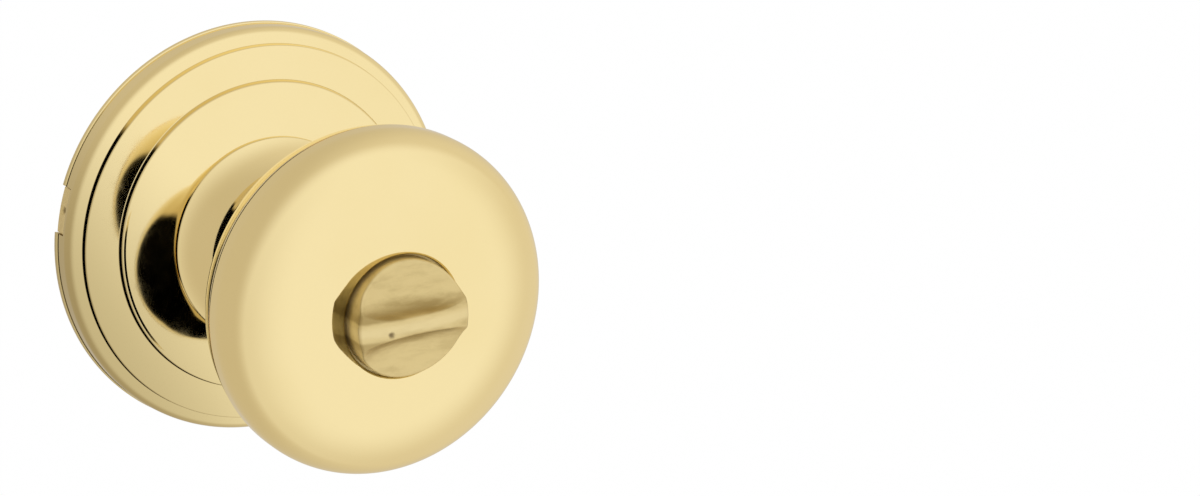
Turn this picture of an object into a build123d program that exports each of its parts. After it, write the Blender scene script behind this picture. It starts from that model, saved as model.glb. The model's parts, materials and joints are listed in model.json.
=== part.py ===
"""Inside half of a privacy door knob set, with a turn button in its knob.

Frame: the door's face is the plane y = 0, the knob stands out along -Y, +Z is up, and the
knob's turning axis is the Y axis. Profiles are drawn as (radius, out) pairs, where out is the
distance from the door's face towards the room, so a negative out lies inside the door.
All sizes are in millimetres and all angles in degrees.
"""
from build123d import *
import math
import os

# Clearances shared by the fits
press_fit = 0.05
running_fit = 0.1
end_play = 0.1
cover_play = 0.3
least_curve = 0.1

# Rose: a pressed brass cover with a rounded rim, a sloping land and a domed middle, one step above the other
rose_radius = 33.1
rose_wall = 0.8
rose_rim_out = 5.1
rose_rim_curve = 1.8
rose_ledge_radius = 31.2
rose_ledge_curve = 0.15
rose_land_radius = 30.75
rose_land_out = 5.9
rose_land_curve = 0.5
rose_swell_radius = 27.9
rose_swell_out = 6.55
rose_swell_curve = 10.0
rose_foot_radius = 25.7
rose_foot_out = 6.6
rose_foot_curve = 0.8
rose_step_radius = 24.9
rose_step_out = 7.9
rose_step_curve = 0.9
rose_face_rise = 1.05
rose_face_crown = 0.35
rose_face_curve = 60.0
rose_hole_radius = 14.6
rose_lip_width = 0.25
rose_lip_height = 0.7
notch_angle = 168.5
notch_length = 7.6
notch_height = 2.8

# Mounting plate: a dished steel plate that clips inside the rose
plate_wall = 1.3
plate_rim_height = 3.2
plate_dish_radius = 26.4
plate_dish_taper = 0.7
plate_dish_depth = 4.0
plate_rim_curve = 0.9
plate_dish_curve = 0.8
plate_dimple_radius = 0.6

# Threaded posts that take the through screws from the other half
post_spacing = 40.0
post_radius = 3.2
post_head_radius = 3.7
post_head_height = 1.2
post_length = 18.0
post_thread_radius = 1.75
post_thread_depth = 14.0

# Knob: a face shell sprung over a back shell whose neck flares at the rose
knob_radius = 26.6
knob_wall = 1.0
knob_widest_out = 46.5
knob_seam_out = 44.5
knob_seam_gap = 0.15
knob_lip_length = 1.5
face_rim_out = 49.3
face_rim_radius = 5.8
face_break_radius = 19.1
face_break_out = 53.9
face_crown_radius = 31.0
face_hole_radius = 9.35
face_hole_roll = 0.35
face_hole_depth = 1.5
shoulder_top_out = 41.1
shoulder_top_radius = 14.6
shoulder_low_radius = 19.76
shoulder_low_out = 32.1
shoulder_low_curve = 16.0
neck_radius = 12.4
neck_top_out = 29.05
neck_top_curve = 4.0
neck_flare_out = 13.2
neck_flare_curve = 15.0
neck_root_radius = 16.75
neck_root_out = 9.35
neck_skirt_height = 0.7
neck_skirt_curve = 0.5

# Drive sleeve and its bearing in the mounting plate
sleeve_wall = 1.0
sleeve_tail = 9.5
bush_wall = 1.55
bush_flange_width = 1.4
bush_flange_height = 1.2
bush_length = 4.7
washer_thickness = 0.8
washer_width = 3.0
ring_groove_depth = 0.5
ring_thickness = 0.8
ring_width = 1.7
ring_mouth = 9.0

# Return spring, its cover and its driver
wire_radius = 0.7
coil_gap = 0.15
coil_turns = 2.0
coil_play = 1.15
cover_wall = 0.8
cover_side_play = 0.7
cover_flange_radius = 22.9
cover_lid_play = 0.85
cover_foot_curve = 0.5
cover_lid_curve = 1.0
rivet_spacing = 37.0
rivet_radius = 1.25
rivet_head_radius = 2.1
rivet_head_height = 0.8
driver_thickness = 1.0
driver_width = 2.8
driver_key_width = 2.0
leg_slot_width = 2.0
leg_reach = 1.0
leg_angle = 45.0

# Spindle that turns the latch
spindle_radius = 4.2
spindle_flat = 3.2
spindle_bore = 2.4
spindle_length = 48.0
spindle_root_step = 0.4
spindle_head_radius = 6.5
spindle_head_height = 1.4
spindle_plate_height = 3.0
spindle_plate_setback = 0.5
keeper_height = 1.5
keeper_bore = 4.0

# Turn button with a scooped grip bar, its stem and the lock bar
button_radius = 9.0
button_floor_fall = 0.3
button_floor_sag = 31.0
button_crest_out = 59.4
button_proud = 4.8
grip_height = 3.7
button_crest_arch = 31.0
button_edge_round = 0.4
grip_half_width = 1.35
grip_flank_width = 0.8
grip_crest_curve = 0.5
grip_flank_curve = 1.8
button_flange_radius = 10.0
button_flange_height = 1.6
stem_radius = 3.1
stem_length = 8.0
bearing_thickness = 2.0
bearing_stand_off = 3.0
curl_thickness = 0.35
curl_bore = 3.6
curl_radius = 9.3
clip_radius = 5.0
clip_thickness = 0.7
clip_groove_depth = 0.7
clip_mouth = 3.2
stem_pin_radius = 0.6
stem_pin_setback = 4.0
lock_bar_thickness = 1.2
lock_bar_width = 4.0
lock_bar_socket = 5.9
lock_bar_tail = 2.0

# Places that follow from the sizes above
sleeve_radius = neck_radius - knob_wall - press_fit
sleeve_bore = sleeve_radius - sleeve_wall
sleeve_core = sleeve_bore - press_fit
face_hole_out = button_crest_out - button_proud
button_floor_out = button_crest_out - grip_height
hole_wall_end = face_hole_out - face_hole_depth
sleeve_front = hole_wall_end - cover_play
plate_floor_back = -plate_dish_depth
plate_floor_front = plate_floor_back + plate_wall
plate_radius = rose_radius - rose_wall - running_fit
bush_bore = sleeve_radius + running_fit
bush_radius = bush_bore + bush_wall
bush_top = plate_floor_front + bush_flange_height
bush_end = bush_top - bush_flange_height - bush_length + plate_wall
washer_end = bush_end - end_play - washer_thickness
ring_top = washer_end - end_play
ring_end = ring_top - ring_thickness
coil_radius = sleeve_radius + coil_play + wire_radius
coil_pitch = 2 * wire_radius + coil_gap
coil_bottom = bush_top + wire_radius + end_play
coil_top = coil_bottom + coil_turns * coil_pitch
cover_bore = coil_radius + wire_radius + cover_side_play
driver_low = coil_top + wire_radius + end_play
driver_top = driver_low + driver_thickness
cover_lid_out = driver_top + cover_play + cover_wall
spindle_plate_low = spindle_plate_setback - sleeve_tail
spindle_plate_top = spindle_plate_low + spindle_plate_height
spindle_head_low = spindle_plate_top + press_fit
spindle_head_top = spindle_head_low + spindle_head_height
keeper_low = spindle_head_top + press_fit
spindle_end = spindle_plate_low - spindle_length
button_flange_top = hole_wall_end - cover_play
button_flange_low = button_flange_top - button_flange_height
stem_end = button_flange_low - stem_length
bearing_top = button_flange_low - bearing_stand_off
bearing_low = bearing_top - bearing_thickness
clip_top = bearing_low - 2 * end_play
clip_low = clip_top - clip_thickness
stem_pin_out = button_flange_low - stem_pin_setback
lock_bar_front = stem_end + lock_bar_socket


def mapped(points):
    """Turn (radius, out) pairs into points of the XY plane."""
    return [(radius, -out) for radius, out in points]


def unit_between(start, end):
    """Unit vector from one pair to the next."""
    length = math.dist(start, end)
    return ((end[0] - start[0]) / length, (end[1] - start[1]) / length)


def shifted(points, amount):
    """Shift a line of pairs sideways by amount, to the left of its travel, with mitred corners."""
    units = [unit_between(a, b) for a, b in zip(points, points[1:])]
    normals = [(-u[1], u[0]) for u in units]
    result = [(points[0][0] + amount * normals[0][0], points[0][1] + amount * normals[0][1])]
    for point, before, after in zip(points[1:-1], normals, normals[1:]):
        scale = amount / (1 + before[0] * after[0] + before[1] * after[1])
        result.append((point[0] + scale * (before[0] + after[0]), point[1] + scale * (before[1] + after[1])))
    last = points[-1]
    result.append((last[0] + amount * normals[-1][0], last[1] + amount * normals[-1][1]))
    return result


def turn_angles(points):
    """Signed turn at each inner corner of a line of pairs, in radians, positive to the left."""
    units = [unit_between(a, b) for a, b in zip(points, points[1:])]
    turns = []
    for before, after in zip(units, units[1:]):
        cross = before[0] * after[1] - before[1] * after[0]
        along = before[0] * after[0] + before[1] * after[1]
        turns.append(math.atan2(cross, along))
    return turns


def fitted(points, radii):
    """Limit corner radii to what the straight runs between the corners leave room for."""
    angles = turn_angles(points)
    tangents = [radius * abs(math.tan(angle / 2)) for radius, angle in zip(radii, angles)]
    runs = [0.98 * math.dist(a, b) for a, b in zip(points, points[1:])]
    needs = [0.0] + tangents + [0.0]
    shares = [min(1.0, run / max(a + b, 1e-9)) for run, a, b in zip(runs, needs, needs[1:])]
    return [radius * min(a, b) for radius, a, b in zip(radii, shares, shares[1:])]


def sheet(points, radii, wall):
    """Revolve a bent sheet: its shown face follows the pairs and the wall lies to their left."""
    angles = turn_angles(points)
    shown_radii = fitted(points, radii)
    hidden_points = shifted(points, wall)
    wanted = [radius - math.copysign(wall, wall * angle) for radius, angle in zip(shown_radii, angles)]
    hidden_radii = fitted(hidden_points, [max(radius, least_curve) for radius in wanted])
    shown = FilletPolyline(*mapped(points), radius=shown_radii)
    hidden = FilletPolyline(*mapped(hidden_points), radius=hidden_radii)
    ends = [Line(shown @ 0, hidden @ 0), Line(shown @ 1, hidden @ 1)]
    return revolve(make_face([*shown.edges(), *hidden.edges(), *(end.edge() for end in ends)]), Axis.Y)


def turned(points):
    """Revolve a closed outline of (radius, out) pairs about the knob's axis."""
    return revolve(make_face(Polyline(*mapped(points), close=True)), Axis.Y)


def ring(outer, inner, low, top):
    """Round ring, or a disc where inner is 0, between two distances out."""
    return turned([(inner, low), (outer, low), (outer, top), (inner, top)])


def rod(radius, low, top, across=0.0, up=0.0):
    """Round rod along the knob's axis direction, centred at (across, up)."""
    return Pos(across, 0, up) * ring(radius, 0, low, top)


def spoke(angle):
    """Turn about the knob's axis that carries +X towards +Z by angle."""
    return Rot(0, -angle, 0)


def block(width, low, top, height, across=0.0, up=0.0):
    """Box of width along X and height along Z, between two distances out."""
    return Pos(across, -(low + top) / 2, up) * Box(width, top - low, height)


def rose():
    face_middle = (rose_step_radius + rose_hole_radius) / 2
    points = [
        (rose_radius, 0),
        (rose_radius, rose_rim_out),
        (rose_ledge_radius, rose_rim_out),
        (rose_land_radius, rose_land_out),
        (rose_swell_radius, rose_swell_out),
        (rose_foot_radius, rose_foot_out),
        (rose_step_radius, rose_step_out),
        (face_middle, rose_step_out + rose_face_rise),
        (rose_hole_radius, rose_step_out + rose_face_rise + rose_face_crown),
    ]
    radii = [
        rose_rim_curve,
        rose_ledge_curve,
        rose_land_curve,
        rose_swell_curve,
        rose_foot_curve,
        rose_step_curve,
        rose_face_curve,
    ]
    cover = sheet(points, radii, rose_wall)
    lip = ring(rose_radius + rose_lip_width, rose_radius - rose_wall / 2, 0, rose_lip_height)
    notch = spoke(notch_angle) * block(4 * rose_wall, -1, notch_height, notch_length, across=rose_radius)
    return cover + lip - notch


def mounting_plate():
    dish_floor_radius = plate_dish_radius - plate_dish_taper
    points = [
        (plate_radius, plate_rim_height),
        (plate_radius, 0),
        (plate_dish_radius, 0),
        (dish_floor_radius, plate_floor_back),
        (bush_radius + press_fit, plate_floor_back),
    ]
    plate = sheet(points, [plate_rim_curve, plate_dish_curve, plate_dish_curve], -plate_wall)
    for side in (-1, 1):
        across = side * post_spacing / 2
        up = side * rivet_spacing / 2
        plate -= rod(post_radius + press_fit, plate_floor_back - 1, plate_floor_front + 1, across)
        plate -= rod(rivet_radius, plate_floor_back - 1, plate_floor_front + 1, 0, up)
    dimple_out = notch_height - plate_dimple_radius
    dimple = spoke(notch_angle) * Pos(plate_radius, -dimple_out, 0) * Sphere(plate_dimple_radius)
    return plate - dimple


def post(side):
    across = side * post_spacing / 2
    end = plate_floor_back - post_length
    head = rod(post_head_radius, plate_floor_front, plate_floor_front + post_head_height, across)
    shank = rod(post_radius, end, plate_floor_front, across)
    thread = rod(post_thread_radius, end, end + post_thread_depth, across)
    return head + shank - thread


def bearing_bush():
    flange_radius = bush_radius + bush_flange_width
    return turned([
        (bush_bore, bush_end),
        (bush_radius, bush_end),
        (bush_radius, plate_floor_front),
        (flange_radius, plate_floor_front),
        (flange_radius, bush_top),
        (bush_bore, bush_top),
    ])


def return_spring():
    coil_path = Helix(coil_pitch, coil_turns * coil_pitch, coil_radius)
    section = Plane(coil_path @ 0, z_dir=coil_path % 0) * Circle(wire_radius)
    coil = Pos(0, -coil_bottom, 0) * Rot(90, 0, 0) * sweep(section, path=coil_path)
    reach = cover_bore + cover_wall + leg_reach - coil_radius
    anchor = Cylinder(wire_radius, reach, align=(Align.CENTER, Align.CENTER, Align.MIN))
    anchor = Pos(coil_radius, -coil_bottom, 0) * Rot(0, 90, 0) * anchor
    drive = rod(wire_radius, coil_top, driver_top, coil_radius)
    return spoke(leg_angle) * (coil + anchor + drive)


def spring_cover():
    cover_radius = cover_bore + cover_wall
    points = [
        (cover_flange_radius, plate_floor_front + cover_wall),
        (cover_radius, plate_floor_front + cover_wall),
        (cover_radius, cover_lid_out),
        (sleeve_radius + cover_lid_play, cover_lid_out),
    ]
    cover = sheet(points, [cover_foot_curve, cover_lid_curve], cover_wall)
    slot_low = coil_bottom - leg_slot_width / 2
    slot = block(4 * cover_wall, slot_low, slot_low + leg_slot_width, leg_slot_width, cover_radius)
    cover -= spoke(leg_angle) * slot
    for side in (-1, 1):
        across = side * post_spacing / 2
        up = side * rivet_spacing / 2
        cover -= rod(post_head_radius + cover_play, plate_floor_front - 1, bush_top + 1, across)
        cover -= rod(rivet_radius, plate_floor_front - 1, bush_top, 0, up)
    return cover


def cover_rivets():
    rivets = []
    for side in (-1, 1):
        up = side * rivet_spacing / 2
        seat = plate_floor_front + cover_wall
        shank = rod(rivet_radius, plate_floor_back, seat, 0, up)
        head = rod(rivet_head_radius, seat, seat + rivet_head_height, 0, up)
        tail = rod(rivet_head_radius, plate_floor_back - rivet_head_height, plate_floor_back, 0, up)
        rivets.append(shank + head + tail)
    return Compound(children=rivets)


def knob_face():
    points = [
        (knob_radius, knob_seam_out),
        (knob_radius, face_rim_out),
        (face_break_radius, face_break_out),
        (face_hole_radius, face_hole_out),
        (face_hole_radius, hole_wall_end),
    ]
    return sheet(points, [face_rim_radius, face_crown_radius, face_hole_roll], knob_wall)


def knob_back():
    seam = knob_seam_out - knob_seam_gap
    points = [
        (knob_radius, knob_widest_out),
        (knob_radius, shoulder_top_out),
        (shoulder_low_radius, shoulder_low_out),
        (neck_radius, neck_top_out),
        (neck_radius, neck_flare_out),
        (neck_root_radius, neck_root_out + neck_skirt_height),
        (neck_root_radius, neck_root_out),
    ]
    radii = [shoulder_top_radius, shoulder_low_curve, neck_top_curve, neck_flare_curve, neck_skirt_curve]
    shell = sheet(points, radii, -knob_wall)
    shell -= ring(knob_radius + 1, 0, seam, knob_widest_out + 1)
    lip_radius = knob_radius - knob_wall - press_fit
    lip_low = seam - knob_lip_length / 2
    lip = ring(lip_radius, lip_radius - knob_wall, lip_low, seam + knob_lip_length)
    lip_root = ring(knob_radius - knob_wall / 2, lip_radius - knob_wall, lip_low, seam)
    return shell + (lip + lip_root)


def drive_sleeve():
    tube = ring(sleeve_radius, sleeve_bore, -sleeve_tail, sleeve_front)
    groove_floor = sleeve_radius - ring_groove_depth
    groove = ring(sleeve_radius + 1, groove_floor, ring_end - end_play / 2, ring_top + end_play / 2)
    slot_width = driver_key_width + 2 * press_fit
    slot_low = driver_low - press_fit
    slot_top = driver_top + press_fit
    key_slot = block(slot_width, slot_low, slot_top, 4 * sleeve_wall, up=sleeve_radius)
    return tube - groove - key_slot


def spring_driver():
    bore = sleeve_radius + press_fit
    body = ring(bore + driver_width, bore, driver_low, driver_top)
    notch_start = coil_radius - wire_radius - press_fit
    notch_width = 2 * (wire_radius + press_fit)
    notch = block(driver_width, driver_low - 1, driver_top + 1, notch_width, notch_start + driver_width / 2)
    key = block(driver_key_width, driver_low, driver_top, sleeve_wall, up=sleeve_radius)
    return body + key - spoke(leg_angle) * notch


def thrust_washer():
    bore = sleeve_radius + running_fit
    return ring(bore + washer_width, bore, washer_end, washer_end + washer_thickness)


def snap_ring():
    bore = sleeve_radius - ring_groove_depth + press_fit
    band = ring(bore + ring_width, bore, ring_end, ring_top)
    return band - block(ring_mouth, ring_end - 1, ring_top + 1, 2 * bore, up=-bore)


def d_rod(radius, flat, low, top):
    """Rod along the axis with one flat side facing down."""
    return rod(radius, low, top) - block(4 * radius, low - 1, top + 1, 2 * radius, up=-flat - radius)


def spindle_plate():
    disc = ring(sleeve_core, 0, spindle_plate_low, spindle_plate_top)
    hole_radius = spindle_radius + spindle_root_step + press_fit
    hole_flat = spindle_flat + spindle_root_step + press_fit
    return disc - d_rod(hole_radius, hole_flat, spindle_plate_low - 1, spindle_plate_top + 1)


def spindle():
    bar = d_rod(spindle_radius, spindle_flat, spindle_end, spindle_plate_low)
    root = d_rod(
        spindle_radius + spindle_root_step,
        spindle_flat + spindle_root_step,
        spindle_plate_low,
        spindle_head_low,
    )
    head = ring(spindle_head_radius, 0, spindle_head_low, spindle_head_top)
    return bar + root + head - rod(spindle_bore, spindle_end - 1, spindle_head_top + 1)


def spindle_keeper():
    return ring(sleeve_core, keeper_bore, keeper_low, keeper_low + keeper_height)


def button_bearing():
    return ring(sleeve_core, stem_radius + press_fit, bearing_low, bearing_top)


def button_washer():
    rise = bearing_stand_off - curl_thickness - 2 * end_play
    bend = (curl_radius ** 2 + rise ** 2) / (2 * rise)
    crown = button_flange_low - end_play
    tube = Pos(0, -(crown - bend), 0) * Cylinder(bend, 3 * curl_radius)
    hollow = Pos(0, -(crown - bend), 0) * Cylinder(bend - curl_thickness, 4 * curl_radius)
    return (tube - hollow) & ring(curl_radius, curl_bore, bearing_top, button_flange_low)


def scoop():
    """Cutter for one finger scoop beside the grip bar, dished along the bar."""
    rim = button_radius + 2
    clear = button_crest_out + 4
    line = [
        (0, button_crest_out),
        (grip_half_width, button_crest_out),
        (grip_half_width + grip_flank_width, button_floor_out),
        (rim, button_floor_out - button_floor_fall),
    ]
    edge = FilletPolyline(*mapped(line), radius=fitted(line, [grip_crest_curve, grip_flank_curve]))
    close = Polyline(edge @ 1, (rim, -clear), (0, -clear), edge @ 0)
    face = make_face([*edge.edges(), *close.edges()])
    return revolve(face, Axis((0, -(button_floor_out + button_floor_sag), 0), (1, 0, 0)))


def turn_button():
    stem_core = stem_radius - clip_groove_depth
    body = turned([
        (0, stem_end),
        (stem_radius, stem_end),
        (stem_radius, clip_low - end_play / 2),
        (stem_core, clip_low - end_play / 2),
        (stem_core, clip_top + end_play / 2),
        (stem_radius, clip_top + end_play / 2),
        (stem_radius, button_flange_low),
        (button_flange_radius, button_flange_low),
        (button_flange_radius, button_flange_top),
        (button_radius, button_flange_top),
        (button_radius, button_crest_out),
        (0, button_crest_out),
    ])
    for angle in (90, 270):
        body -= spoke(angle) * scoop()
    arch = Cylinder(button_crest_arch, 4 * button_radius)
    body &= Pos(0, -(button_crest_out - button_crest_arch), 0) * arch
    rim_edges = [edge for edge in body.edges() if on_button_rim(edge)]
    body = fillet(rim_edges, button_edge_round)
    body -= block(lock_bar_thickness + 2 * press_fit, stem_end - 1, lock_bar_front + press_fit,
                  lock_bar_width + 2 * press_fit)
    return body - stem_pin_rod(stem_pin_radius + press_fit / 2, stem_radius)


def on_button_rim(edge):
    """Whether an edge lies on the button's round side, above the knob's face."""
    middle = edge @ 0.5
    return abs(math.hypot(middle.X, middle.Z) - button_radius) < 1e-3 and -middle.Y > face_hole_out


def stem_pin_rod(radius, half_length):
    """Cross rod through the stem, along X."""
    return Pos(0, -stem_pin_out, 0) * Rot(0, 90, 0) * Cylinder(radius, 2 * half_length)


def stem_pin():
    return stem_pin_rod(stem_pin_radius, stem_radius - end_play)


def stem_clip():
    bore = stem_radius - clip_groove_depth + press_fit
    return ring(clip_radius, bore, clip_low, clip_top) - block(
        clip_mouth, clip_low - 1, clip_top + 1, clip_radius, up=-clip_radius / 2 - bore / 2)


def lock_bar():
    strip = block(lock_bar_thickness, spindle_end - lock_bar_tail, lock_bar_front, lock_bar_width)
    return strip - stem_pin_rod(stem_pin_radius + press_fit / 2, stem_radius)


NODES = {
    "rose": rose,
    "mounting_plate": mounting_plate,
    "post_left": lambda: post(-1),
    "post_right": lambda: post(1),
    "bearing_bush": bearing_bush,
    "return_spring": return_spring,
    "spring_cover": spring_cover,
    "cover_rivets": cover_rivets,
    "knob_face": knob_face,
    "knob_back": knob_back,
    "drive_sleeve": drive_sleeve,
    "spring_driver": spring_driver,
    "thrust_washer": thrust_washer,
    "snap_ring": snap_ring,
    "spindle_plate": spindle_plate,
    "spindle": spindle,
    "spindle_keeper": spindle_keeper,
    "button_bearing": button_bearing,
    "button_washer": button_washer,
    "turn_button": turn_button,
    "stem_pin": stem_pin,
    "stem_clip": stem_clip,
    "lock_bar": lock_bar,
}

os.makedirs("parts", exist_ok=True)
for name, make in NODES.items():
    export_step(make(), f"parts/{name}.step")
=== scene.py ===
"""Dressed inside half of a privacy door knob: polished shells, a cast turn button and a studio.

Profiles are written as (radius, out) pairs in millimetres, where out is the distance from the
door's face towards the room, which is the frame's -Y. Blender's own values are in metres.
"""
import json
import logging
import math
from dataclasses import dataclass
from enum import Enum
from typing import Any, ClassVar, Iterable, Protocol, Sequence

import bmesh
import bpy
from mathutils import Matrix, Vector


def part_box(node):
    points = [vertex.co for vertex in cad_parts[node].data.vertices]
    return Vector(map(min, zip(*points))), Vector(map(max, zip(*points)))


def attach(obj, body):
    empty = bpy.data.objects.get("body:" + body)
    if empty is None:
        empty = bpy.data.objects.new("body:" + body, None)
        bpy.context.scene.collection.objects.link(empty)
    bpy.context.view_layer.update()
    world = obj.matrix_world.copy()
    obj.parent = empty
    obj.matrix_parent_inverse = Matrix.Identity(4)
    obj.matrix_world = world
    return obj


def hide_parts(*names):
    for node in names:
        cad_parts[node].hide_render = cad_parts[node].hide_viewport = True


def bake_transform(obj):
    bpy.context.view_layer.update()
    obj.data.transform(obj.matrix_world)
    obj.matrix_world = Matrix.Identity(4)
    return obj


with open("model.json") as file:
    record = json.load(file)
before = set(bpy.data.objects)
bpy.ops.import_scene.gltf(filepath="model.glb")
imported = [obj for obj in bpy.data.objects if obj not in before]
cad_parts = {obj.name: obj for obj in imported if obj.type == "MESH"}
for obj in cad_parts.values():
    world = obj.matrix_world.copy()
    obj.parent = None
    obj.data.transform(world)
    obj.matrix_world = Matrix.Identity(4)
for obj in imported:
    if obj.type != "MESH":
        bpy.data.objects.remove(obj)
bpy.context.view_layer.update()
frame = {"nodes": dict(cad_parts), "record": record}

MM = 0.001
TINY = 1e-9
WELD = 1e-7
NOTCH_ANGLE = 168.5
BAR_SLACK = math.radians(3.5)
LOG = logging.getLogger("privacy_knob")

Pair = tuple[float, float]
Triple = tuple[float, float, float]
Fade = tuple[float, float, float, float]
Colour = Triple
Pieces = list[bpy.types.Object]


def polar(radius: float, angle: float, out: float) -> Triple:
    """Place in metres at a radius, an angle from +X towards +Z and a distance out."""
    return (radius * math.cos(angle) * MM, -out * MM, radius * math.sin(angle) * MM)


class Body(str, Enum):
    """Rigid bodies of the frame."""

    MOUNTING = "mounting"
    KNOB = "knob"
    BUTTON = "button"


class Slot(str, Enum):
    """Material slots of the record."""

    POLISHED_BRASS = "polished_brass"
    CAST_BRASS = "cast_brass"
    YELLOW_ZINC = "yellow_zinc"
    BRIGHT_STEEL = "bright_steel"
    SPRING_STEEL = "spring_steel"
    BUSH_BRONZE = "bush_bronze"


class Flow:
    """A shader socket that takes part in Python expressions."""

    def __init__(self, painter: "Painter", socket: bpy.types.NodeSocket) -> None:
        """Wrap an output socket of the painter's node tree."""
        self.painter = painter
        self.socket = socket

    def _math(self, operation: str, first: Any, second: Any) -> "Flow":
        """Add one Math node and return its value."""
        return self.painter.node("ShaderNodeMath", {"operation": operation}, {0: first, 1: second})

    def __add__(self, other: Any) -> "Flow":
        """Sum of two values."""
        return self._math("ADD", self, other)

    __radd__ = __add__

    def __sub__(self, other: Any) -> "Flow":
        """Difference of two values."""
        return self._math("SUBTRACT", self, other)

    def __rsub__(self, other: Any) -> "Flow":
        """Difference with this value taken away."""
        return self._math("SUBTRACT", other, self)

    def __mul__(self, other: Any) -> "Flow":
        """Product of two values."""
        return self._math("MULTIPLY", self, other)

    __rmul__ = __mul__

    def __pow__(self, other: Any) -> "Flow":
        """Power of this value."""
        return self._math("POWER", self, other)

    def __rpow__(self, other: Any) -> "Flow":
        """Power with this value as the exponent."""
        return self._math("POWER", other, self)

    def size(self) -> "Flow":
        """The value without its sign."""
        return self._math("ABSOLUTE", self, 0.0)

    def highest(self, other: Any) -> "Flow":
        """The larger of two values."""
        return self._math("MAXIMUM", self, other)

    def ramp(self, low: float, high: float, start: float = 0.0, end: float = 1.0) -> "Flow":
        """Smooth step of this value.

        Args:
            low: Value at which the step starts.
            high: Value at which the step ends.
            start: Result below low.
            end: Result above high.

        Returns:
            The stepped value.
        """
        settings = {"interpolation_type": "SMOOTHSTEP", "clamp": True}
        sockets = {"Value": self, "From Min": low, "From Max": high, "To Min": start, "To Max": end}
        return self.painter.node("ShaderNodeMapRange", settings, sockets)


class Painter:
    """Builds the node tree of one material or of the world."""

    def __init__(self, owner: bpy.types.ID, output: str = "ShaderNodeOutputMaterial") -> None:
        """Start an empty tree with an output.

        Args:
            owner: Material or world that the tree belongs to.
            output: Blender's type name of the output node.
        """
        owner.use_nodes = True
        self.owner = owner
        self.tree = owner.node_tree
        self.tree.nodes.clear()
        self.output = self.tree.nodes.new(output)

    @classmethod
    def material(cls, name: str) -> "Painter":
        """Start a new material."""
        return cls(bpy.data.materials.new(name))

    @classmethod
    def world(cls, name: str) -> "Painter":
        """Start a new world."""
        return cls(bpy.data.worlds.new(name), "ShaderNodeOutputWorld")

    def node(
        self, kind: str, settings: dict[str, Any], sockets: dict[Any, Any], out: Any = None
    ) -> Flow:
        """Add any node.

        Args:
            kind: Blender's type name of the node.
            settings: Properties set before any socket.
            sockets: Input values or flows by socket name or place.
            out: Name or place of the output to return.

        Returns:
            The chosen output, or else the node's first enabled one.
        """
        made = self.tree.nodes.new(kind)
        for key, value in settings.items():
            setattr(made, key, value)
        for key, value in sockets.items():
            target = self._input(made, key)
            if isinstance(value, Flow):
                self.tree.links.new(value.socket, target)
            else:
                target.default_value = value
        if out is not None:
            return Flow(self, made.outputs[out])
        return Flow(self, next(socket for socket in made.outputs if socket.enabled))

    @staticmethod
    def _input(made: bpy.types.Node, key: Any) -> bpy.types.NodeSocket:
        """Find an input of a node.

        Args:
            made: The node.
            key: Name of an enabled input, or the place of any input.

        Returns:
            The input.
        """
        if isinstance(key, int):
            return made.inputs[key]
        return next(socket for socket in made.inputs if socket.name == key and socket.enabled)

    def place(self) -> Flow:
        """Object coordinates, in metres."""
        return self.node("ShaderNodeTexCoord", {}, {}, "Object")

    def parts_of(self, vector: Flow) -> tuple[Flow, Flow, Flow]:
        """Split a vector.

        Args:
            vector: The vector.

        Returns:
            Its three numbers.
        """
        made = self.node("ShaderNodeSeparateXYZ", {}, {0: vector}, 0)
        outputs = made.socket.node.outputs
        return made, Flow(self, outputs[1]), Flow(self, outputs[2])

    def noise(self, vector: Flow, scale: float, detail: float, rough: float = 0.5) -> Flow:
        """Noise value around one half."""
        sockets = {"Vector": vector, "Scale": scale, "Detail": detail, "Roughness": rough}
        return self.node("ShaderNodeTexNoise", {}, sockets, 0)

    def _measure(self, operation: str, vector: Flow, other: Triple) -> Flow:
        """Number that Vector Math gives for two vectors."""
        sockets = {0: vector, 1: other}
        return self.node("ShaderNodeVectorMath", {"operation": operation}, sockets, "Value")

    def along(self, vector: Flow, axis: Triple) -> Flow:
        """How far a vector points along an axis."""
        return self._measure("DOT_PRODUCT", vector, axis)

    def distance(self, vector: Flow, place: Triple) -> Flow:
        """Distance of a vector from a place."""
        return self._measure("DISTANCE", vector, place)

    def mix(self, share: Any, first: Any, second: Any) -> Flow:
        """Colour between two colours."""
        sockets = {"Factor": share, "A": self._rgba(first), "B": self._rgba(second)}
        return self.node("ShaderNodeMix", {"data_type": "RGBA"}, sockets)

    @staticmethod
    def _rgba(colour: Any) -> Any:
        """Add the alpha that a colour socket wants."""
        return colour if isinstance(colour, Flow) else (*colour, 1.0)

    def bump(self, height: Flow, strength: float, distance: float) -> Flow:
        """Normal bent by a height."""
        sockets = {"Strength": strength, "Distance": distance, "Height": height}
        return self.node("ShaderNodeBump", {}, sockets)

    def metal(self, sockets: dict[str, Any]) -> None:
        """End the tree in a metal surface."""
        self.surface(self.node("ShaderNodeBsdfPrincipled", {}, {"Metallic": 1.0, **sockets}))

    def surface(self, shader: Flow) -> None:
        """Link a shader to the output."""
        self.tree.links.new(shader.socket, self.output.inputs["Surface"])


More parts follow.
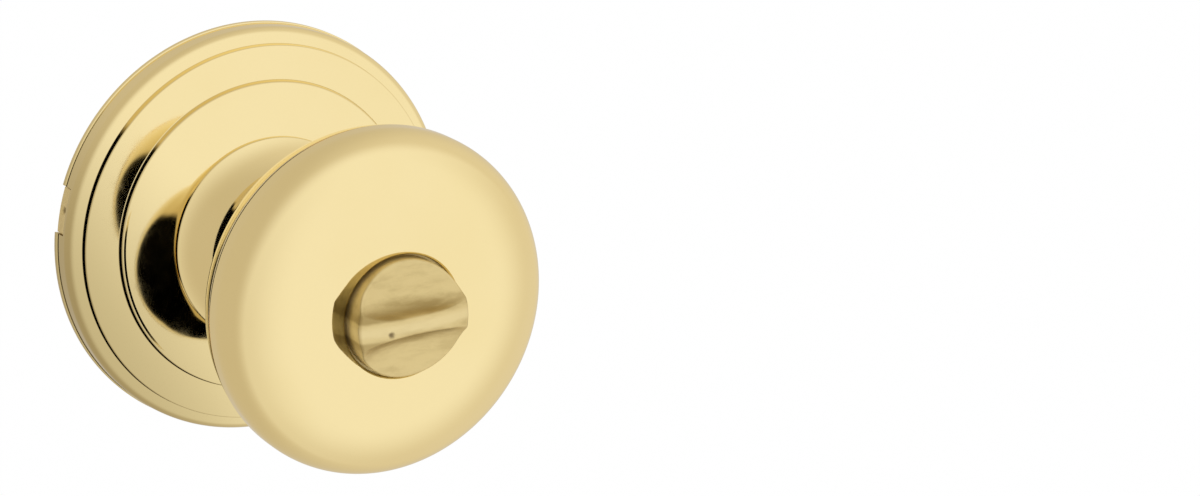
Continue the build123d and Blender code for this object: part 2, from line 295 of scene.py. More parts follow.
@dataclass(frozen=True)
class PolishedBrass:
    """Buffed and lacquered brass sheet."""

    name: str = "polished_brass"
    bright: Colour = (0.920, 0.775, 0.415)
    warm: Colour = (0.905, 0.755, 0.390)
    roughness: float = 0.05
    haze_share: float = 0.04
    tone_scale: float = 38.0
    haze_scale: float = 240.0
    tone_range: Pair = (0.35, 0.7)
    haze_range: Pair = (0.42, 0.75)

    def material(self) -> bpy.types.Material:
        """Bright metal with faint buffing haze and slow changes of tone.

        Returns:
            The material.
        """
        painter = Painter.material(self.name)
        place = painter.place()
        tone = painter.noise(place, self.tone_scale, 3.0).ramp(*self.tone_range)
        haze = painter.noise(place, self.haze_scale, 6.0, 0.65).ramp(*self.haze_range)
        painter.metal({
            "Base Color": self.tint(painter, place, painter.mix(tone, self.bright, self.warm)),
            "Roughness": self.roughness + haze * self.haze_share,
            **self.relief(painter, place),
        })
        return painter.owner

    def tint(self, painter: Painter, place: Flow, colour: Flow) -> Flow:
        """Colour with any painted shade; plain sheet keeps its own."""
        return colour

    def relief(self, painter: Painter, place: Flow) -> dict[str, Flow]:
        """Sockets for relief; plain sheet has none."""
        return {}


@dataclass(frozen=True)
class DomedBrass(PolishedBrass):
    """Polished sheet whose shading is bent, so that it mirrors the knob close to the neck."""

    name: str = "domed_brass"
    # Painted shade: colour, side and range of the darkening towards the lower left.
    painted_shade: Colour = (0.560, 0.455, 0.220)
    painted_shade_side: Triple = (-0.87, 0.0, -0.50)
    painted_shade_range: Pair = (0.006, 0.034)
    dome_radius: float = 0.0245
    dome_rise: float = 0.065
    lean: float = 0.20

    def tint(self, painter: Painter, place: Flow, colour: Flow) -> Flow:
        """Painted shade: colour darker towards the lower left."""
        share = painter.along(place, self.painted_shade_side).ramp(*self.painted_shade_range)
        return painter.mix(share, colour, self.painted_shade)

    def relief(self, painter: Painter, place: Flow) -> dict[str, Flow]:
        """Add a steeper rise to the neck and an upward lean, in the shading alone.

        Args:
            painter: The material's painter.
            place: Object coordinates.

        Returns:
            The Normal socket and its flow.
        """
        x, _, z = painter.parts_of(place)
        radius = (x * x + z * z) ** 0.5
        inward = (self.dome_radius - radius).highest(0.0)
        return {"Normal": painter.bump(inward * self.dome_rise - z * self.lean, 1.0, 1.0)}


@dataclass(frozen=True)
class CastBrass:
    """Cast brass left satin, with a grainy skin."""

    name: str = "cast_brass"
    bright: Colour = (0.730, 0.585, 0.275)
    dull: Colour = (0.440, 0.325, 0.125)
    # Painted highlight: lighter colour along the bar's crest.
    painted_highlight: Colour = (0.900, 0.760, 0.420)
    # A darker spot, at the button's pit or the tab's dimple.
    dark_spot: Colour = (0.160, 0.110, 0.050)
    dark_spot_place: Triple = (-0.0043, -0.0588, -0.0009)
    slack: float = BAR_SLACK
    roughness: float = 0.32
    metallic: float = 0.8
    grain_scale: float = 900.0
    grain_share: float = 0.16
    grain_strength: float = 0.32
    grain_depth: float = 0.00010
    patch_scale: float = 520.0
    patch_range: Pair = (0.36, 0.7)
    patch_share: float = 0.4
    patch_relief: float = 0.5
    draw: Triple = (0.3, 1.0, 1.0)
    # Painted shade: band along the bar's foot, where the scoops meet it, fading towards +X.
    foot_shade_rise: Pair = (0.0011, 0.0018)
    foot_shade_fall: Pair = (0.0019, 0.0044)
    foot_shade_fade: Fade = (0.002, 0.008, 0.75, 0.15)
    crest_highlight_fade: Fade = (0.0002, 0.0013, 0.45, 0.0)
    dark_spot_fade: Fade = (0.0005, 0.00105, 0.85, 0.0)
    dark_spot_wander: float = 0.0007

    def material(self) -> bpy.types.Material:
        """Grainy metal, painted shade at the bar's foot, a painted crest highlight, darker in one
        spot.

        Returns:
            The material.
        """
        painter = Painter.material(self.name)
        place = painter.place()
        grain = painter.noise(place, self.grain_scale, 5.0, 0.6)
        drawn = painter.node("ShaderNodeMapping", {}, {"Vector": place, "Scale": self.draw})
        patches = painter.noise(drawn, self.patch_scale, 5.0, 0.6).ramp(*self.patch_range)
        height = painter.along(place, (-math.sin(self.slack), 0.0, math.cos(self.slack))).size()
        # Painted shade: darker in a band along the bar's foot, fading towards +X, joined by the
        # random patches.
        foot = height.ramp(*self.foot_shade_rise) * height.ramp(*self.foot_shade_fall, 1.0, 0.0)
        foot = foot * painter.along(place, (1.0, 0.0, 0.0)).ramp(*self.foot_shade_fade)
        patches_and_shade = (patches * self.patch_share + foot).ramp(0.0, 1.0)
        colour = painter.mix(patches_and_shade, self.bright, self.dull)
        # Painted highlight along the bar's crest.
        colour = painter.mix(height.ramp(*self.crest_highlight_fade), colour, self.painted_highlight)
        # Darker in one small spot, with a wandering edge.
        speck = painter.distance(place, self.dark_spot_place) + grain * self.dark_spot_wander
        colour = painter.mix(speck.ramp(*self.dark_spot_fade), colour, self.dark_spot)
        skin = grain + patches * self.patch_relief
        normal = painter.bump(skin, self.grain_strength, self.grain_depth)
        painter.metal({
            "Base Color": colour,
            "Metallic": self.metallic,
            "Roughness": self.roughness + grain * self.grain_share,
            "Normal": normal,
        })
        return painter.owner


@dataclass(frozen=True)
class PlatedSteel:
    """Plated or oiled steel of the hidden pieces."""

    name: str
    bright: Colour
    dull: Colour
    roughness: float
    spangle: float = 320.0
    cloud_range: Pair = (0.36, 0.66)
    cloud_share: float = 0.12
    fine_factor: float = 6.0
    fine_strength: float = 0.12
    fine_depth: float = 0.00004

    def material(self) -> bpy.types.Material:
        """Semi-bright metal with cloudy plating.

        Returns:
            The material.
        """
        painter = Painter.material(self.name)
        place = painter.place()
        clouds = painter.noise(place, self.spangle, 4.0, 0.6).ramp(*self.cloud_range)
        fine = painter.noise(place, self.spangle * self.fine_factor, 3.0)
        colour = painter.mix(clouds, self.bright, self.dull)
        painter.metal({
            "Base Color": colour,
            "Roughness": self.roughness + clouds * self.cloud_share,
            "Normal": painter.bump(fine, self.fine_strength, self.fine_depth),
        })
        return painter.owner


FINISHES: dict[Slot, Any] = {
    Slot.POLISHED_BRASS: PolishedBrass(),
    Slot.CAST_BRASS: CastBrass(),
    Slot.YELLOW_ZINC: PlatedSteel("yellow_zinc", (0.62, 0.53, 0.30), (0.57, 0.475, 0.26), 0.28),
    Slot.BRIGHT_STEEL: PlatedSteel("bright_steel", (0.70, 0.71, 0.72), (0.64, 0.65, 0.67), 0.22),
    Slot.SPRING_STEEL: PlatedSteel("spring_steel", (0.36, 0.36, 0.38), (0.24, 0.24, 0.26), 0.30),
    Slot.BUSH_BRONZE: PlatedSteel(
        "bush_bronze", (0.52, 0.36, 0.20), (0.40, 0.26, 0.14), 0.42, spangle=700.0
    ),
}


@dataclass(frozen=True)
class Profile:
    """Line of (radius, out) pairs, with a curve radius for each inner corner, in millimetres."""

    run_share: ClassVar[float] = 0.98
    least_curve: ClassVar[float] = 0.1
    points: tuple[Pair, ...]
    curves: tuple[float, ...]
    arc_step: float = math.radians(4.0)

    def _units(self) -> list[Vector]:
        """Directions of the straight runs."""
        corners = [Vector(point) for point in self.points]
        return [(after - before).normalized() for before, after in zip(corners, corners[1:])]

    def _turns(self) -> list[float]:
        """Signed turn at each inner corner, positive to the left."""
        units = self._units()
        return [math.atan2(u.x * v.y - u.y * v.x, u.dot(v)) for u, v in zip(units, units[1:])]

    def _fitted(self) -> list[float]:
        """Limit the curve radii to the room that the runs leave.

        Returns:
            A radius for each inner corner.
        """
        turns = self._turns()
        needs = [0.0, *(r * abs(math.tan(t / 2)) for r, t in zip(self.curves, turns)), 0.0]
        runs = [self.run_share * math.dist(a, b) for a, b in zip(self.points, self.points[1:])]
        shares = [min(1.0, run / max(a + b, TINY)) for run, a, b in zip(runs, needs, needs[1:])]
        return [radius * min(a, b) for radius, a, b in zip(self.curves, shares, shares[1:])]

    def line(self) -> list[Pair]:
        """Points along the rounded line.

        Returns:
            The pairs, with every arc stepped finely.
        """
        units = self._units()
        result: list[Pair] = [self.points[0]]
        for place, (turn, curve) in enumerate(zip(self._turns(), self._fitted())):
            corner = Vector(self.points[place + 1])
            before = units[place]
            reach = curve * abs(math.tan(turn / 2))
            start = corner - before * reach
            side = Vector((-before.y, before.x)) * math.copysign(1.0, turn)
            centre = start + side * curve
            steps = max(2, math.ceil(abs(turn) / self.arc_step))
            for step in range(steps + 1):
                spoke = Matrix.Rotation(turn * step / steps, 2) @ (start - centre)
                result.append(tuple(centre + spoke))
        result.append(self.points[-1])
        return result

    def behind(self, wall: float) -> "Profile":
        """The same line on the sheet's other face.

        Args:
            wall: Sheet thickness, positive to the left of the line's travel.

        Returns:
            The shifted profile.
        """
        normals = [Vector((-u.y, u.x)) for u in self._units()]
        moved = [Vector(self.points[0]) + normals[0] * wall]
        for point, before, after in zip(self.points[1:-1], normals, normals[1:]):
            moved.append(Vector(point) + (before + after) * (wall / (1 + before.dot(after))))
        moved.append(Vector(self.points[-1]) + normals[-1] * wall)
        pairs = zip(self._fitted(), self._turns())
        shifted = [curve - math.copysign(wall, wall * turn) for curve, turn in pairs]
        curves = tuple(max(curve, self.least_curve) for curve in shifted)
        return Profile(tuple(tuple(point) for point in moved), curves, self.arc_step)

    def sheet(self, wall: float) -> list[Pair]:
        """Closed outline of a sheet of even thickness."""
        return [*self.line(), *reversed(self.behind(wall).line())]


class Workshop:
    """Turns outlines into named pieces that ride on bodies."""

    @staticmethod
    def angles(columns: int) -> list[float]:
        """Even angles round the axis."""
        return [math.tau * place / columns for place in range(columns)]

    @staticmethod
    def revolve(name: str, columns: Sequence[tuple[float, list[Pair]]]) -> bpy.types.Mesh:
        """Revolve a closed outline about the knob's axis.

        Args:
            name: Name of the mesh.
            columns: Angles in radians from +X towards +Z, each with an outline of as many pairs.

        Returns:
            The mesh, in metres.
        """
        rows = len(columns[0][1])
        corners = [polar(radius, angle, out) for angle, line in columns for radius, out in line]
        faces = []
        count = len(columns)
        for place in range(count):
            here, there = place * rows, (place + 1) % count * rows
            for row in range(rows):
                after = (row + 1) % rows
                faces.append((here + row, here + after, there + after, there + row))
        mesh = bpy.data.meshes.new(name)
        mesh.from_pydata(corners, [], faces)
        Workshop.smooth(mesh)
        return mesh

    @staticmethod
    def smooth(mesh: bpy.types.Mesh, angle: float = math.radians(32.0)) -> None:
        """Weld loose points, turn the faces outwards and smooth all but the sharp edges.

        Args:
            mesh: The mesh.
            angle: Angle in radians from which an edge is sharp.
        """
        work = bmesh.new()
        work.from_mesh(mesh)
        bmesh.ops.remove_doubles(work, verts=work.verts, dist=WELD)
        bmesh.ops.recalc_face_normals(work, faces=work.faces)
        work.to_mesh(mesh)
        work.free()
        mesh.shade_smooth()
        mesh.set_sharp_from_angle(angle=angle)
        mesh.update()

    @staticmethod
    def link(mesh: bpy.types.Mesh) -> bpy.types.Object:
        """Put a mesh in the scene under its own name.

        Args:
            mesh: The mesh.

        Returns:
            The new object.
        """
        made = bpy.data.objects.new(mesh.name, mesh)
        bpy.context.scene.collection.objects.link(made)
        return made

    @staticmethod
    def piece(
        mesh: bpy.types.Mesh, body: Body, slot: Slot, nodes: Iterable[str]
    ) -> bpy.types.Object:
        """Link a mesh as a piece that stands for CAD nodes.

        Args:
            mesh: The mesh, in the frame.
            body: Body that it rides on.
            slot: Not used.
            nodes: CAD nodes that it replaces.

        Returns:
            The new object.
        """
        made = Workshop.link(mesh)
        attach(made, body.value)
        for node in nodes:
            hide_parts(node)
        LOG.info("%s rides on %s", made.name, body.value)
        return made


class Dresser:
    """Gives every piece and every shown CAD node its finish."""

    def __init__(self) -> None:
        """Make one material for each slot."""
        self.materials = {slot: finish.material() for slot, finish in FINISHES.items()}

    @staticmethod
    def paint(pieces: Pieces, *materials: bpy.types.Material) -> None:
        """Put materials on pieces, in place of any that they have.

        Args:
            pieces: The pieces.
            materials: The materials, in the order of the faces' numbers.
        """
        for piece in pieces:
            piece.data.materials.clear()
            for material in materials:
                piece.data.materials.append(material)

    def dress(self, pieces: Pieces, slot: Slot) -> None:
        """Put a slot's material on pieces."""
        self.paint(pieces, self.materials[slot])

    def dress_frame(self) -> None:
        """Put the record's finishes on the CAD nodes."""
        slots = {row["node"]: Slot(row["material_slot"]) for row in frame["record"]["subparts"]}
        for node, piece in frame["nodes"].items():
            for place in piece.material_slots:
                place.material = self.materials[slots[node]]
            LOG.info("%s takes %s", node, slots[node].value)


class SubAssembly(Protocol):
    """Pieces that are built and dressed together."""

    def build(self) -> Pieces:
        """Make the pieces."""

    def dress(self, pieces: Pieces, dresser: Dresser) -> None:
        """Finish the pieces."""


@dataclass
class RoseCover:
    """Pressed cover against the door: rounded rim, sloping land and raised middle."""

    wall: float = 0.8
    rim_out: float = 4.6
    groove_radius: float = 30.7
    groove_out: float = 5.05
    land_radius: float = 30.6
    land_out: float = 6.2
    foot_radius: float = 25.3
    foot_out: float = 6.85
    step_radius: float = 25.1
    step_out: float = 7.8
    crown_radius: float = 16.8
    crown_out: float = 9.2
    hole_radius: float = 14.6
    hole_rise: float = 0.05
    lip_width: float = 0.25
    lip_height: float = 0.7
    notch_angle: float = NOTCH_ANGLE
    notch_length: float = 7.6
    notch_height: float = 2.8
    notch_edge: float = 1e-5
    notch_shares: tuple[float, ...] = (-0.9, -0.6, -0.3, 0.0, 0.3, 0.6, 0.9)
    curves: tuple[float, ...] = (0.15, 0.15, 1.6, 0.1, 0.25, 0.15, 0.4, 8.0)
    rim_finish: DomedBrass = DomedBrass("rim_brass", dome_radius=0.0305, lean=0.02)
    dome_finish: DomedBrass = DomedBrass()
    columns: int = 360

    def __post_init__(self) -> None:
        """Take the rim's radius from the frame."""
        self.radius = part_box("rose")[1].z / MM - self.lip_width

    def profile(self) -> Profile:
        """Lay out the shown face.

        Returns:
            The profile, from the door inwards to the neck hole.
        """
        lip = self.radius + self.lip_width
        return Profile((
            (lip, 0.0),
            (lip, self.lip_height),
            (self.radius, self.lip_height),
            (self.radius, self.rim_out),
            (self.groove_radius, self.groove_out),
            (self.land_radius, self.land_out),
            (self.foot_radius, self.foot_out),
            (self.step_radius, self.step_out),
            (self.crown_radius, self.crown_out),
            (self.hole_radius, self.crown_out + self.hole_rise),
        ), self.curves)

    def outline(self) -> list[Pair]:
        """Lay out the sheet, with the lip standing proud of an even wall.

        Returns:
            The closed outline.
        """
        shown = self.profile()
        core = Profile(((self.radius, 0.0), *shown.points[3:]), shown.curves[2:])
        return [*shown.line(), *reversed(core.behind(self.wall).line())]

    def build(self) -> Pieces:
        """Revolve the cover with its rim notch.

        Returns:
            The cover alone.
        """
        outline = self.outline()
        cut = [(min(radius, self.radius), max(out, self.notch_height)) for radius, out in outline]
        centre = math.radians(self.notch_angle)
        half = self.notch_length / 2 / self.radius
        edge = self.notch_edge
        clear = half + 10 * edge
        spread = [angle for angle in Workshop.angles(self.columns) if abs(angle - centre) > clear]
        inside = [centre + half * share for share in self.notch_shares]
        ends = [centre + side * half + step for side in (-1, 1) for step in (-edge, edge)]
        angles = sorted([*spread, *inside, *ends])
        columns = [(angle, cut if abs(angle - centre) < half else outline) for angle in angles]
        mesh = Workshop.revolve("rose_cover", columns)
        return [Workshop.piece(mesh, Body.MOUNTING, Slot.POLISHED_BRASS, ["rose"])]

    def dress(self, pieces: Pieces, dresser: Dresser) -> None:
        """Finish the cover, with its middle apart from its rim and land.

        Args:
            pieces: The cover from build.
            dresser: The dresser that puts materials on.
        """
        dresser.paint(pieces, self.rim_finish.material(), self.dome_finish.material())
        for face in pieces[0].data.polygons:
            radius = math.hypot(face.center.x, face.center.z) / MM
            face.material_index = int(radius < self.step_radius)


@dataclass
class PlateTab:
    """The plate's rim where it shows in the rose's notch, with a punched dimple."""

    radius: float = 32.95
    inner_radius: float = 32.0
    low_out: float = 0.15
    high_out: float = 2.72
    dimple_out: float = 1.45
    dimple_size: float = 0.55
    dimple_depth: float = 0.5
    notch_angle: float = NOTCH_ANGLE
    length: float = 7.2
    rows: int = 28
    columns: int = 72

    def _radius(self, along: float, out: float) -> float:
        """Radius of the shown face at a place along and out."""
        reach = (along ** 2 + (out - self.dimple_out) ** 2) / self.dimple_size ** 2
        return self.radius - self.dimple_depth * math.exp(-reach)

    def build(self) -> Pieces:
        """Build the tab as a closed curved plate.

        Returns:
            The tab alone.
        """
        corners: list[Triple] = []
        faces: list[tuple[int, ...]] = []
        centre = math.radians(self.notch_angle)
        width = self.columns + 1
        for shown in (True, False):
            for row in range(self.rows + 1):
                out = self.low_out + (self.high_out - self.low_out) * row / self.rows
                for column in range(width):
                    along = self.length * (column / self.columns - 0.5)
                    radius = self._radius(along, out) if shown else self.inner_radius
                    angle = centre + along / self.radius
                    corners.append(polar(radius, angle, out))
        back = width * (self.rows + 1)
        for row in range(self.rows):
            for column in range(self.columns):
                start = row * width + column
                quad = (start, start + 1, start + width + 1, start + width)
                faces.append(quad)
                faces.append(tuple(back + corner for corner in reversed(quad)))
        rim = [*range(width), *(row * width + self.columns for row in range(1, self.rows + 1))]
        rim += [self.rows * width + column for column in reversed(range(self.columns))]
        rim += [row * width for row in reversed(range(1, self.rows))]
        for here, there in zip(rim, [*rim[1:], rim[0]]):
            faces.append((here, back + here, back + there, there))
        mesh = bpy.data.meshes.new("plate_tab")
        mesh.from_pydata(corners, [], faces)
        Workshop.smooth(mesh)
        return [Workshop.piece(mesh, Body.MOUNTING, Slot.CAST_BRASS, [])]

    def dress(self, pieces: Pieces, dresser: Dresser) -> None:
        """Finish the tab, darker in its dimple.

        Args:
            pieces: The tab from build.
            dresser: The dresser that puts materials on.
        """
        depth = self.radius - self.dimple_depth / 2
        place = polar(depth, math.radians(self.notch_angle), self.dimple_out)
        dresser.paint(pieces, CastBrass("tab_brass", dark_spot_place=place).material())


@dataclass
class ReturnSpring:
    """Coil whose first leg is held by its cover while the last leg turns with the knob."""

    wire_radius: float = 0.7
    coil_radius: float = 13.2
    pitch: float = 1.55
    turns: float = 2.0
    low_out: float = -0.7
    drive_out: float = 4.2
    anchor_reach: float = 16.4
    leg_angle: float = 45.0
    bend: float = 1.5
    drive_bend: float = 0.6
    sharp: float = math.radians(50.0)
    wire_steps: int = 6
    turn_steps: int = 90

    def _coil_place(self, turn: float) -> Vector:
        """Find a place on the coil.

        Args:
            turn: Turns from the held end.

        Returns:
            The place in millimetres, in the frame's axes.
        """
        angle = math.radians(self.leg_angle) + math.tau * turn
        out = self.low_out + self.pitch * turn
        radius = self.coil_radius
        return Vector((radius * math.cos(angle), -out, radius * math.sin(angle)))

    @staticmethod
    def _rounded(before: Vector, corner: Vector, after: Vector, steps: int = 8) -> list[Vector]:
        """Soft bend from one place to another round a corner."""
        shares = [step / steps for step in range(steps + 1)]
        return [before.lerp(corner, s).lerp(corner.lerp(after, s), s) for s in shares]

    def path(self) -> list[Vector]:
        """Lay out the wire's middle line.

        Returns:
            Places from the held leg to the driven leg.
        """
        start, end = self._coil_place(0.0), self._coil_place(self.turns)
        spread = Vector((start.x, 0.0, start.z)).normalized()
        share = self.bend / (math.tau * self.coil_radius)
        steps = int(self.turns * self.turn_steps)
        span = self.turns - share - share
        coil = [self._coil_place(share + span * step / steps) for step in range(steps + 1)]
        held = start + spread * (self.anchor_reach - self.coil_radius)
        driven = Vector((end.x, -self.drive_out, end.z))
        up = (driven - end).normalized()
        return [
            held,
            *self._rounded(start + spread * self.bend, start, coil[0]),
            *coil[1:-1],
            *self._rounded(coil[-1], end, end + up * self.bend * self.drive_bend),
            driven,
        ]

    def build(self) -> Pieces:
        """Sweep round wire along the path.

        Returns:
            The spring alone.
        """
        line = bpy.data.curves.new("return_spring_line", "CURVE")
        line.dimensions = "3D"
        line.bevel_depth = self.wire_radius * MM
        line.bevel_resolution = self.wire_steps
        line.use_fill_caps = True
        path = self.path()
        spline = line.splines.new("POLY")
        spline.points.add(len(path) - 1)
        for point, place in zip(spline.points, path):
            point.co = (*(place * MM), 1.0)
        drawn = bpy.data.objects.new("return_spring_line", line)
        mesh = bpy.data.meshes.new_from_object(drawn)
        mesh.name = "return_spring_coil"
        bpy.data.objects.remove(drawn)
        bpy.data.curves.remove(line)
        Workshop.smooth(mesh, self.sharp)
        made = Workshop.link(mesh)
        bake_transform(made)
        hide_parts("return_spring")
        LOG.info("%s twists between %s and %s", made.name, Body.MOUNTING.value, Body.KNOB.value)
        return [made]

    def dress(self, pieces: Pieces, dresser: Dresser) -> None:
        """Finish the wire as spring steel."""
        dresser.dress(pieces, Slot.SPRING_STEEL)


@dataclass
class KnobShells:
    """Hollow knob: a face shell sprung over a back shell whose neck flares at the rose."""

    wall: float = 1.0
    seam_out: float = 44.5
    seam_gap: float = 0.15
    rim_out: float = 49.3
    break_radius: float = 19.1
    break_out: float = 53.9
    crest_radius: float = 12.6
    crest_out: float = 54.65
    hole_radius: float = 9.35
    hole_out: float = 54.1
    hole_end: float = 53.1
    face_curves: tuple[float, ...] = (5.8, 26.0, 14.0, 0.45)
    shoulder_top_out: float = 41.1
    shoulder_low: Pair = (19.76, 32.1)
    neck_radius: float = 12.4
    neck_top_out: float = 29.05
    flare_out: float = 13.2
    root_radius: float = 16.75
    root_out: float = 9.35
    skirt_height: float = 0.7
    run_on: float = 2.0
    arc_step: float = math.radians(2.0)
    back_curves: tuple[float, ...] = (14.6, 16.0, 4.0, 15.0, 0.5)
    columns: int = 360

    def __post_init__(self) -> None:
        """Take the knob's radius from the frame."""
        self.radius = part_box("knob_face")[1].z / MM

    def face_profile(self) -> Profile:
        """Lay out the face shell's shown side.

        Returns:
            The profile, from the seam to the hole's inner end.
        """
        return Profile((
            (self.radius, self.seam_out),
            (self.radius, self.rim_out),
            (self.break_radius, self.break_out),
            (self.crest_radius, self.crest_out),
            (self.hole_radius, self.hole_out),
            (self.hole_radius, self.hole_end),
        ), self.face_curves, self.arc_step)

    def back_profile(self) -> Profile:
        """Lay out the back shell's shown side.

        Returns:
            The profile, from past the seam to the neck's root.
        """
        return Profile((
            (self.radius, self.seam_out + self.run_on),
            (self.radius, self.shoulder_top_out),
            self.shoulder_low,
            (self.neck_radius, self.neck_top_out),
            (self.neck_radius, self.flare_out),
            (self.root_radius, self.root_out + self.skirt_height),
            (self.root_radius, self.root_out),
        ), self.back_curves, self.arc_step)

    def back_outline(self) -> list[Pair]:
        """Lay out the back shell, ended at the seam.

        Returns:
            The closed outline.
        """
        seam = self.seam_out - self.seam_gap
        profile = self.back_profile()
        shown = [pair for pair in profile.line() if pair[1] <= seam]
        hidden = [pair for pair in profile.behind(-self.wall).line() if pair[1] <= seam]
        return [*shown, *reversed(hidden)]

    def build(self) -> Pieces:
        """Revolve both shells.

        Returns:
            The face shell and the back shell.
        """
        angles = Workshop.angles(self.columns)
        face = self.face_profile().sheet(self.wall)
        back = self.back_outline()
        face_mesh = Workshop.revolve("knob_face_shell", [(angle, face) for angle in angles])
        back_mesh = Workshop.revolve("knob_back_shell", [(angle, back) for angle in angles])
        return [
            Workshop.piece(face_mesh, Body.KNOB, Slot.POLISHED_BRASS, ["knob_face"]),
            Workshop.piece(back_mesh, Body.KNOB, Slot.POLISHED_BRASS, ["knob_back"]),
        ]

    def dress(self, pieces: Pieces, dresser: Dresser) -> None:
        """Finish both shells as polished brass."""
        dresser.dress(pieces, Slot.POLISHED_BRASS)


@dataclass
class TurnButton:
    """Cast button: an arched grip bar between two dished finger scoops, on a flanged stem."""

    radius: float = 9.0
    floor_out: float = 55.7
    floor_fall: float = 0.3
    floor_sag: float = 31.0
    crest_out: float = 59.4
    crest_arch: float = 31.0
    edge_round: float = 0.4
    half_width: float = 1.25
    flank_width: float = 1.05
    flare: Pair = (0.4, 0.1)
    slack: float = BAR_SLACK
    crest_curve: float = 0.9
    flank_curve: float = 3.2
    blend: float = 0.5
    flange_radius: float = 10.0
    flange_height: float = 1.6
    flange_top: float = 52.8
    stem_radius: float = 3.1
    groove_radius: float = 2.4
    groove: Pair = (45.25, 46.05)
    pit: Triple = (-4.4, -0.63, 0.45)
    pit_depth: float = 0.22
    run_on: float = 2.0
    arc_step: float = math.radians(6.0)
    columns: int = 90
    coarse_rows: int = 44
    fine_step: float = 0.08

    def __post_init__(self) -> None:
        """Take the stem's end from the frame and lay out the scoop's section."""
        self.stem_end = -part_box("turn_button")[1].y / MM
        reach = self.radius + self.run_on
        section = Profile((
            (0.0, self.crest_out),
            (self.half_width, self.crest_out),
            (self.half_width + self.flank_width, self.floor_out),
            (reach, self.floor_out - self.floor_fall),
        ), (self.crest_curve, self.flank_curve), self.arc_step)
        self.section = section.line()

    def _section_out(self, side: float) -> float:
        """Find the height of the scoop's section.

        Args:
            side: Distance from the bar's middle.

        Returns:
            Distance out from the door.
        """
        for (near, low), (far, top) in zip(self.section, self.section[1:]):
            if side <= far:
                return low + (top - low) * (side - near) / max(far - near, TINY)
        return self.section[-1][1]

    def top_out(self, across: float, up: float) -> float:
        """Height of the button's face.

        Args:
            across: Place along the grip bar.
            up: Place across the grip bar.

        Returns:
            Distance out from the door, with the bar's edges and the rim rounded.
        """
        turn = Matrix.Rotation(-self.slack, 2) @ Vector((across, up))
        across, up = turn.x, turn.y
        flare = self.flare[0] if across < 0 else self.flare[1]
        arch = self.crest_out - self.crest_arch + math.sqrt(self.crest_arch ** 2 - across ** 2)
        axis = self.floor_out + self.floor_sag
        side = abs(up) / (1.0 + flare * (across / self.radius) ** 2)
        scoop = axis - math.sqrt((axis - self._section_out(side)) ** 2 - across ** 2)
        share = max(self.blend - abs(arch - scoop), 0.0) / self.blend
        top = min(arch, scoop) - share ** 2 * self.blend / 4
        x, z, size = self.pit
        top -= self.pit_depth * math.exp(-((across - x) ** 2 + 2.0 * (up - z) ** 2) / size ** 2)
        past = math.hypot(across, up) - (self.radius - self.edge_round)
        if past > 0:
            top -= self.edge_round - math.sqrt(max(self.edge_round ** 2 - past ** 2, 0.0))
        return top

    def _rows(self) -> list[float]:
        """Space the grid's rows.

        Returns:
            Places across the bar, close together at its flanks and at the rim.
        """
        count = self.coarse_rows
        coarse = [self.radius * math.sin(math.pi / 2 * step / count) for step in range(count + 1)]
        foot = self.half_width + self.flank_width + self.flank_curve
        fine = [step * self.fine_step for step in range(int(foot / self.fine_step))]
        half = sorted({round(place, 5) for place in [*coarse, *fine]})
        return [*(-place for place in reversed(half[1:])), *half]

    def build(self) -> Pieces:
        """Build the face as a grid and the flange and stem below it as a lathe.

        Returns:
            The button alone.
        """
        columns = self.columns
        corners: list[Triple] = []
        faces: list[tuple[int, ...]] = []
        rows = self._rows()
        for up in rows:
            reach = math.sqrt(max(self.radius ** 2 - up ** 2, 0.0))
            for step in range(columns + 1):
                across = reach * math.sin(math.pi / 2 * (2 * step / columns - 1))
                corners.append((across, -self.top_out(across, up), up))
        width = columns + 1
        for row in range(len(rows) - 1):
            for step in range(columns):
                start = row * width + step
                faces.append((start, start + 1, start + width + 1, start + width))
        loop = [row * width + columns for row in range(len(rows))]
        loop += [row * width for row in reversed(range(len(rows)))]
        below = [
            (self.radius, self.flange_top),
            (self.flange_radius, self.flange_top),
            (self.flange_radius, self.flange_top - self.flange_height),
            (self.stem_radius, self.flange_top - self.flange_height),
            (self.stem_radius, self.groove[1]),
            (self.groove_radius, self.groove[1]),
            (self.groove_radius, self.groove[0]),
            (self.stem_radius, self.groove[0]),
            (self.stem_radius, self.stem_end),
            (0.0, self.stem_end),
        ]
        before = loop
        for radius, out in below:
            first = len(corners)
            for place in loop:
                x, _, z = corners[place]
                scale = radius / self.radius
                corners.append((x * scale, -out, z * scale))
            ring = list(range(first, first + len(loop)))
            for here in range(len(loop)):
                there = (here + 1) % len(loop)
                faces.append((before[here], before[there], ring[there], ring[here]))
            before = ring
        mesh = bpy.data.meshes.new("turn_button_cast")
        mesh.from_pydata([tuple(value * MM for value in corner) for corner in corners], [], faces)
        Workshop.smooth(mesh)
        return [Workshop.piece(mesh, Body.BUTTON, Slot.CAST_BRASS, ["turn_button"])]

    def dress(self, pieces: Pieces, dresser: Dresser) -> None:
        """Finish the button as cast brass."""
        dresser.dress(pieces, Slot.CAST_BRASS)


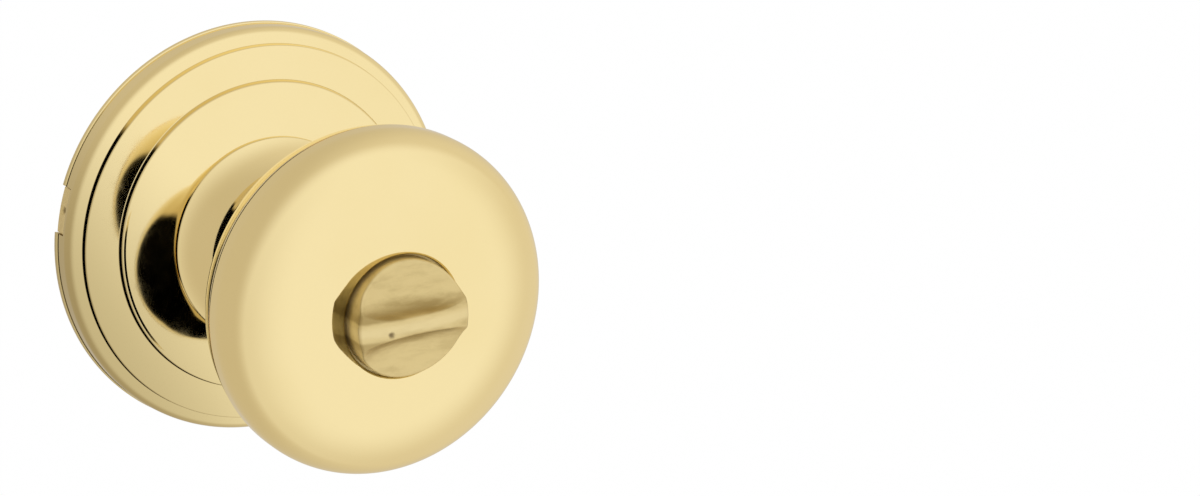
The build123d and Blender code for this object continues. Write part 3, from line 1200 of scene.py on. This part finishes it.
@dataclass
class Studio:
    """Pale floor in a white surround, which the metal mirrors as dimmer towards the left."""

    floor_drop: float = 0.14
    floor_size: float = 12.0
    bright_side: Triple = (0.707, -0.707, 0.0)
    bright_range: Pair = (-0.50, 0.65)
    front_side: Triple = (0.0, -1.0, 0.0)
    front_range: Pair = (0.05, 0.65)
    bright: Colour = (1.00, 0.985, 0.985)
    edge: Colour = (0.82, 0.77, 0.70)
    dim: Colour = (0.65, 0.595, 0.515)
    dark_side: Triple = (-0.965, -0.10, -0.15)
    dark_range: Pair = (0.50, 0.60)
    low_side: Triple = (-0.25, -0.35, -0.90)
    low_range: Pair = (0.80, 0.88)
    deep_range: Pair = (1.2, 1.8)
    floor_tone: float = 0.98
    floor_glow: float = 0.94

    def build(self) -> None:
        """Make the floor and the surround."""
        self._world()
        self._floor()

    def _world(self) -> None:
        """White for the camera, softer for the metal, dark in corners of repeated reflections."""
        painter = Painter.world("surround")
        bpy.context.scene.world = painter.owner
        look = painter.node("ShaderNodeTexCoord", {}, {}, "Generated")
        path = painter.node("ShaderNodeLightPath", {}, {}, "Is Glossy Ray")
        depth = Flow(painter, path.socket.node.outputs["Glossy Depth"])
        front = painter.along(look, self.front_side).ramp(*self.front_range)
        side = painter.along(look, self.bright_side).ramp(*self.bright_range)
        light = painter.mix(side, self.dim, painter.mix(front, self.edge, self.bright))
        low = painter.along(look, self.low_side).ramp(*self.low_range)
        dark = painter.along(look, self.dark_side).ramp(*self.dark_range).highest(low)
        mirrored = painter.mix(dark * depth.ramp(*self.deep_range), light, (0.0, 0.0, 0.0))
        colour = painter.mix(path, (1.0, 1.0, 1.0), mirrored)
        sockets = {"Color": colour, "Strength": 1.0}
        painter.surface(painter.node("ShaderNodeBackground", {}, sockets))

    def _floor(self) -> None:
        """Pale floor below the object, left out of the mirrored surround."""
        half = self.floor_size / 2
        mesh = bpy.data.meshes.new("floor")
        plan = [(-half, -half), (half, -half), (half, half), (-half, half)]
        mesh.from_pydata([(x, y, -self.floor_drop) for x, y in plan], [], [(0, 1, 2, 3)])
        floor = Workshop.link(mesh)
        floor.visible_glossy = False
        painter = Painter.material("floor_white")
        seen = painter.node("ShaderNodeLightPath", {}, {}, "Is Camera Ray")
        tone = (self.floor_tone, self.floor_tone, self.floor_tone, 1.0)
        pale = painter.node("ShaderNodeBsdfDiffuse", {}, {"Color": tone})
        glow = {"Color": (1.0, 1.0, 1.0, 1.0), "Strength": 1.0}
        white = painter.node("ShaderNodeEmission", {}, glow)
        mixed = {0: seen * self.floor_glow, 1: pale, 2: white}
        painter.surface(painter.node("ShaderNodeMixShader", {}, mixed))
        mesh.materials.append(painter.owner)


@dataclass
class PhotoCamera:
    """Camera fitted to the outlines of the rose and the knob."""

    azimuth: float = -25.5
    elevation: float = 16.4
    distance: float = 0.5
    target: Triple = (-0.00313, -0.025, 0.00307)
    focal_pixels: float = 3258.0
    frame_width: float = 1200.0
    axis_pixel: float = 297.4
    sensor: float = 36.0
    near: float = 0.01

    def build(self) -> None:
        """Place the camera and make it the scene's own."""
        data = bpy.data.cameras.new("photo_camera")
        data.sensor_width = self.sensor
        data.lens = self.sensor * self.focal_pixels / self.frame_width
        data.shift_x = (self.frame_width / 2 - self.axis_pixel) / self.frame_width
        data.clip_start = self.near
        camera = bpy.data.objects.new("photo_camera", data)
        bpy.context.scene.collection.objects.link(camera)
        turn, lift = math.radians(self.azimuth), math.radians(self.elevation)
        level = math.cos(lift)
        back = Vector((math.sin(turn) * level, -math.cos(turn) * level, math.sin(lift)))
        camera.location = Vector(self.target) + back * self.distance
        camera.rotation_euler = (-back).to_track_quat("-Z", "Y").to_euler()
        bpy.context.scene.camera = camera


def main() -> None:
    """Build and dress every sub-assembly in order."""
    logging.basicConfig(level=logging.INFO)
    bpy.context.scene.view_settings.view_transform = "Standard"
    dresser = Dresser()
    dresser.dress_frame()
    assemblies: list[SubAssembly] = [
        PlateTab(), RoseCover(), ReturnSpring(), KnobShells(), TurnButton()
    ]
    for assembly in assemblies:
        assembly.dress(assembly.build(), dresser)
    Studio().build()
    PhotoCamera().build()


if __name__ == "__main__":
    main()
